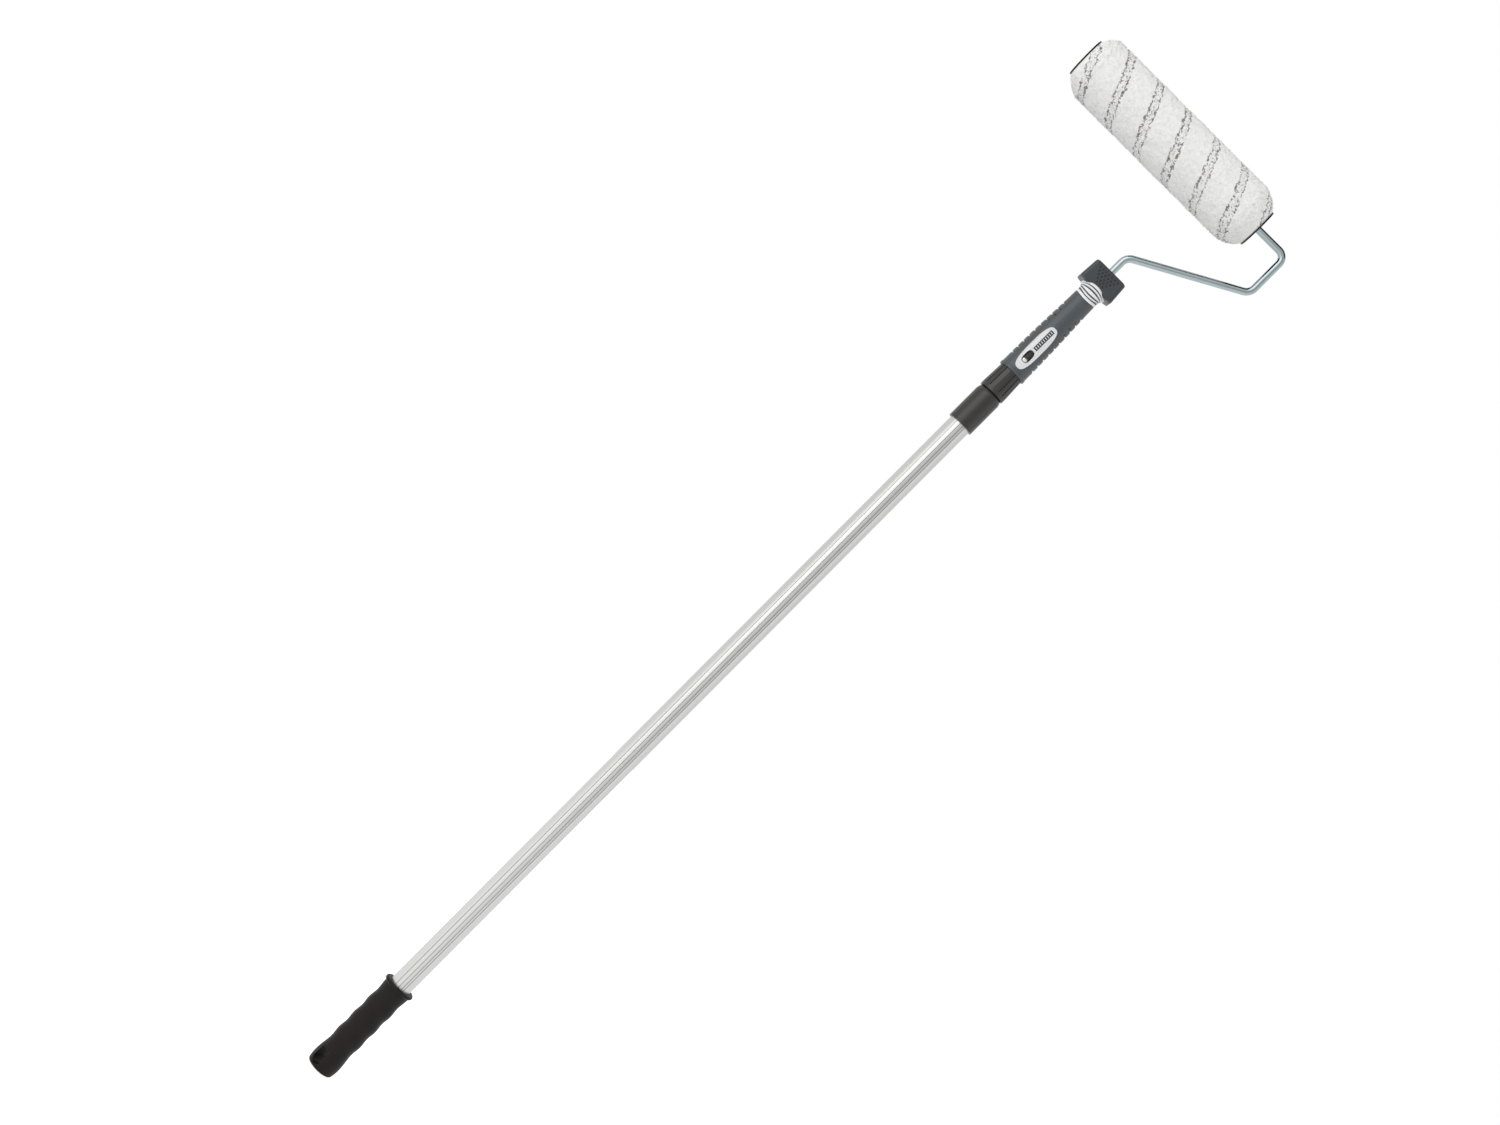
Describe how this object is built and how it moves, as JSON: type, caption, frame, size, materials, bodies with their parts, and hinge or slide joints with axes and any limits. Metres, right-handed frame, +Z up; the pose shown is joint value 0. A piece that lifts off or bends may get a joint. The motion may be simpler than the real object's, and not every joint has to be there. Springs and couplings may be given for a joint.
{
  "type": "roller extension pole",
  "caption": "Telescopic pole with a wavy hand grip, twist lock, snap-button soft handle, bent wire frame and a white pile roller on its axle.",
  "frame": {"origin": "centre of the hand grip's flat end face", "axes": "+Z up the pole towards the roller, +X along the roller's axis towards the wire's bend, -Y towards the side that carries the snap button"},
  "size_m": [0.294, 0.0714, 1.3222],
  "materials": {
    "grip_plastic": "satin moulded black",
    "fluted_aluminium": "mill-finish extruded, fine length-wise reeding",
    "plain_aluminium": "drawn, satin",
    "collar_plastic": "semi-gloss brown-black moulding",
    "lock_plastic": "moulded, matte",
    "nylon": "natural nylon",
    "ring_rubber": "matte",
    "plated_steel": "bright zinc plating with a bluish cast",
    "button_steel": "polished spring steel",
    "rivet_aluminium": "satin",
    "white_plastic": "semi-gloss white moulding",
    "soft_grip": "matte slate soft-touch",
    "core_plastic": "extruded polypropylene",
    "pile": "woven white pile with fine grey-brown helical lines",
    "cap_plastic": "moulded black"
  },
  "bodies": {
    "outer_pole": {"end_grip": "grip_plastic", "outer_tube": "fluted_aluminium", "outer_collar": "collar_plastic", "guide_bush": "nylon"},
    "lock_carriage": {"lock_collet": "nylon", "drag_ring": "ring_rubber"},
    "cone_nut": {"lock_cone": "lock_plastic"},
    "inner_pole": {"inner_tube": "plain_aluminium", "lock_spindle": "lock_plastic", "spindle_washer": "plated_steel", "spindle_screw": "plated_steel", "adapter": "collar_plastic", "adapter_rivet": "rivet_aluminium", "button_spring": "button_steel", "handle_core": "white_plastic", "handle_grip": "soft_grip", "release_bezel": "white_plastic", "frame_wire": "plated_steel", "stop_ring": "plated_steel", "axle_clip": "plated_steel"},
    "snap_button": {"lock_button": "button_steel"},
    "roller": {"roller_core": "core_plastic", "pile_sleeve": "pile", "end_cap_outer": "cap_plastic", "end_cap_inner": "cap_plastic", "hub_bush_outer": "nylon", "hub_bush_inner": "nylon"}
  },
  "joints": [
    {"name": "pole_slide", "type": "slide", "parent": "outer_pole", "child": "lock_carriage", "axis": [0, 0, 1], "range_m": [0, 0.85]},
    {"name": "lock_twist", "type": "hinge", "parent": "lock_carriage", "child": "inner_pole", "pos_m": [0, 0, 0.09], "axis": [0, 0, 1], "range_deg": [0, 180]},
    {"name": "cone_travel", "type": "slide", "parent": "lock_carriage", "child": "cone_nut", "axis": [0, 0, -1], "range_m": [0, 0.0015]},
    {"name": "button_press", "type": "slide", "parent": "inner_pole", "child": "snap_button", "axis": [0, 1, 0], "range_m": [0, 0.004], "stiffness_N_per_m": 1500, "springref_m": -0.002, "deforming": ["button_spring"]},
    {"name": "roller_spin", "type": "hinge", "parent": "inner_pole", "child": "roller", "pos_m": [-0.05, 0, 1.2864], "axis": [1, 0, 0], "continuous": true}
  ],
  "couplings": [
    {"joint": "cone_travel", "follows": "lock_twist", "m_per_rad": 0.00047746}
  ]
}
